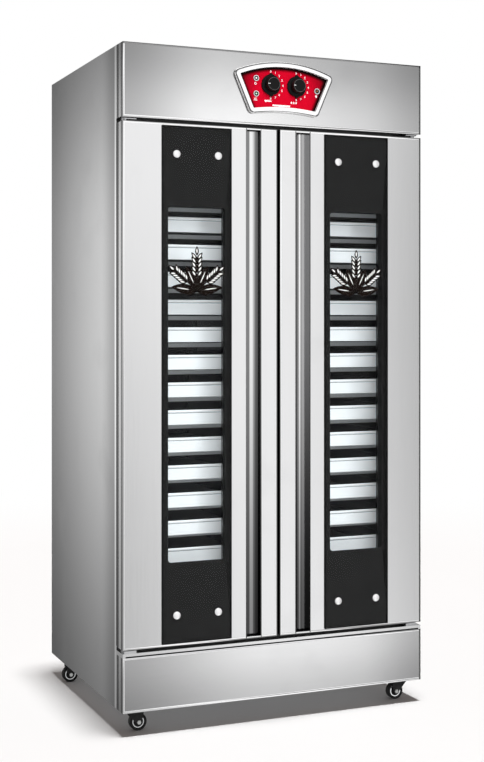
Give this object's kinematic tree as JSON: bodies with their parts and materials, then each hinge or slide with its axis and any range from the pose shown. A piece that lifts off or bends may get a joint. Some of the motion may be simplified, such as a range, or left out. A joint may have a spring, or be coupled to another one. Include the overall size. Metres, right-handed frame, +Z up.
{
  "type": "double proofing cabinet",
  "caption": "Upright stainless double-door dough proofing cabinet with window doors, full-height grips, tray racks inside, a fan-shaped control panel with knobs, and castors.",
  "frame": {"origin": "centre of the footprint, on the floor under the castors", "axes": "+Z up, -Y towards the doors, +X to the right seen from the front"},
  "size_m": [0.95, 0.8094, 1.935],
  "materials": {
    "casing_steel": "brushed stainless sheet",
    "door_steel": "brushed stainless sheet",
    "handle_steel": "brushed stainless profile",
    "chamber_steel": "satin stainless sheet",
    "tray_metal": "satin",
    "heater_sheath": "dull",
    "clear_glass": "polished",
    "dark_print": "gloss print under glass",
    "bright_chrome": "polished",
    "red_plate": "satin print",
    "black_plastic": "satin",
    "lamp_lens": "clear",
    "seal_rubber": "matte",
    "bush_plastic": "satin",
    "insulation": "fibre board",
    "switch_plastic": "satin",
    "wire_cover": "satin",
    "lamp_globe": "opal",
    "zinc_steel": "zinc plated",
    "castor_steel": "black",
    "wheel_rubber": "satin"
  },
  "bodies": {
    "root": {"left_side_panel": "casing_steel", "right_side_panel": "casing_steel", "top_panel": "casing_steel", "back_panel": "casing_steel", "bottom_panel": "casing_steel", "insulation_boards": "insulation", "chamber_liner": "chamber_steel", "front_frame": "casing_steel", "top_fascia": "casing_steel", "base_fascia": "casing_steel", "base_sill": "casing_steel", "hinge_brackets": "casing_steel", "control_bezel": "bright_chrome", "control_plate": "red_plate", "dial_controllers": "zinc_steel", "lamp_bezels": "bright_chrome", "lamp_lenses": "lamp_lens", "switchgear": "switch_plastic", "wiring_loom": "wire_cover", "rack_posts": "chamber_steel", "tray_rails": "chamber_steel", "rack_crossbars": "chamber_steel", "left_trays": "tray_metal", "right_trays": "tray_metal", "water_pan": "chamber_steel", "water_heater": "heater_sheath", "air_heater": "heater_sheath", "chamber_lamps": "lamp_globe", "cable_gland": "black_plastic", "panel_screws": "zinc_steel", "castor_plates": "zinc_steel", "castor_bolts": "zinc_steel"},
    "left_door": {"left_door_skin": "door_steel", "left_door_liner": "door_steel", "left_door_core": "insulation", "left_door_panes": "clear_glass", "left_glass_print": "dark_print", "left_door_handle": "handle_steel", "left_door_gasket": "seal_rubber", "left_glass_caps": "bright_chrome", "left_door_bushes": "bush_plastic"},
    "right_door": {"right_door_skin": "door_steel", "right_door_liner": "door_steel", "right_door_core": "insulation", "right_door_panes": "clear_glass", "right_glass_print": "dark_print", "right_door_handle": "handle_steel", "right_door_gasket": "seal_rubber", "right_glass_caps": "bright_chrome", "right_door_bushes": "bush_plastic"},
    "temperature_knob": {"temperature_knob": "black_plastic"},
    "humidity_knob": {"humidity_knob": "black_plastic"},
    "front_left_swivel": {"front_left_fork": "castor_steel"},
    "front_left_wheel": {"front_left_wheel": "wheel_rubber"},
    "front_right_swivel": {"front_right_fork": "castor_steel"},
    "front_right_wheel": {"front_right_wheel": "wheel_rubber"},
    "rear_left_swivel": {"rear_left_fork": "castor_steel"},
    "rear_left_wheel": {"rear_left_wheel": "wheel_rubber"},
    "rear_right_swivel": {"rear_right_fork": "castor_steel"},
    "rear_right_wheel": {"rear_right_wheel": "wheel_rubber"}
  },
  "joints": [
    {"name": "left_door_hinge", "type": "hinge", "parent": "root", "child": "left_door", "pos_m": [-0.46, -0.34735, 0.241], "axis": [0, 0, -1], "range_deg": [0, 120]},
    {"name": "right_door_hinge", "type": "hinge", "parent": "root", "child": "right_door", "pos_m": [0.46, -0.34735, 0.241], "axis": [0, 0, 1], "range_deg": [0, 120]},
    {"name": "temperature_knob_turn", "type": "hinge", "parent": "root", "child": "temperature_knob", "pos_m": [-0.026, -0.37735, 1.843], "axis": [0, 1, 0], "range_deg": [0, 270]},
    {"name": "humidity_knob_turn", "type": "hinge", "parent": "root", "child": "humidity_knob", "pos_m": [0.056, -0.37735, 1.843], "axis": [0, 1, 0], "range_deg": [0, 270]},
    {"name": "front_left_swivel_turn", "type": "hinge", "parent": "root", "child": "front_left_swivel", "pos_m": [-0.432, -0.32235, 0.056], "axis": [0, 0, 1], "continuous": true},
    {"name": "front_left_wheel_spin", "type": "hinge", "parent": "front_left_swivel", "child": "front_left_wheel", "pos_m": [-0.414, -0.32235, 0.025], "axis": [0, 1, 0], "continuous": true},
    {"name": "front_right_swivel_turn", "type": "hinge", "parent": "root", "child": "front_right_swivel", "pos_m": [0.432, -0.32235, 0.056], "axis": [0, 0, 1], "continuous": true},
    {"name": "front_right_wheel_spin", "type": "hinge", "parent": "front_right_swivel", "child": "front_right_wheel", "pos_m": [0.414, -0.32235, 0.025], "axis": [0, 1, 0], "continuous": true},
    {"name": "rear_left_swivel_turn", "type": "hinge", "parent": "root", "child": "rear_left_swivel", "pos_m": [-0.432, 0.25265, 0.056], "axis": [0, 0, 1], "continuous": true},
    {"name": "rear_left_wheel_spin", "type": "hinge", "parent": "rear_left_swivel", "child": "rear_left_wheel", "pos_m": [-0.45, 0.25265, 0.025], "axis": [0, 1, 0], "continuous": true},
    {"name": "rear_right_swivel_turn", "type": "hinge", "parent": "root", "child": "rear_right_swivel", "pos_m": [0.432, 0.25265, 0.056], "axis": [0, 0, 1], "continuous": true},
    {"name": "rear_right_wheel_spin", "type": "hinge", "parent": "rear_right_swivel", "child": "rear_right_wheel", "pos_m": [0.45, 0.25265, 0.025], "axis": [0, 1, 0], "continuous": true}
  ]
}
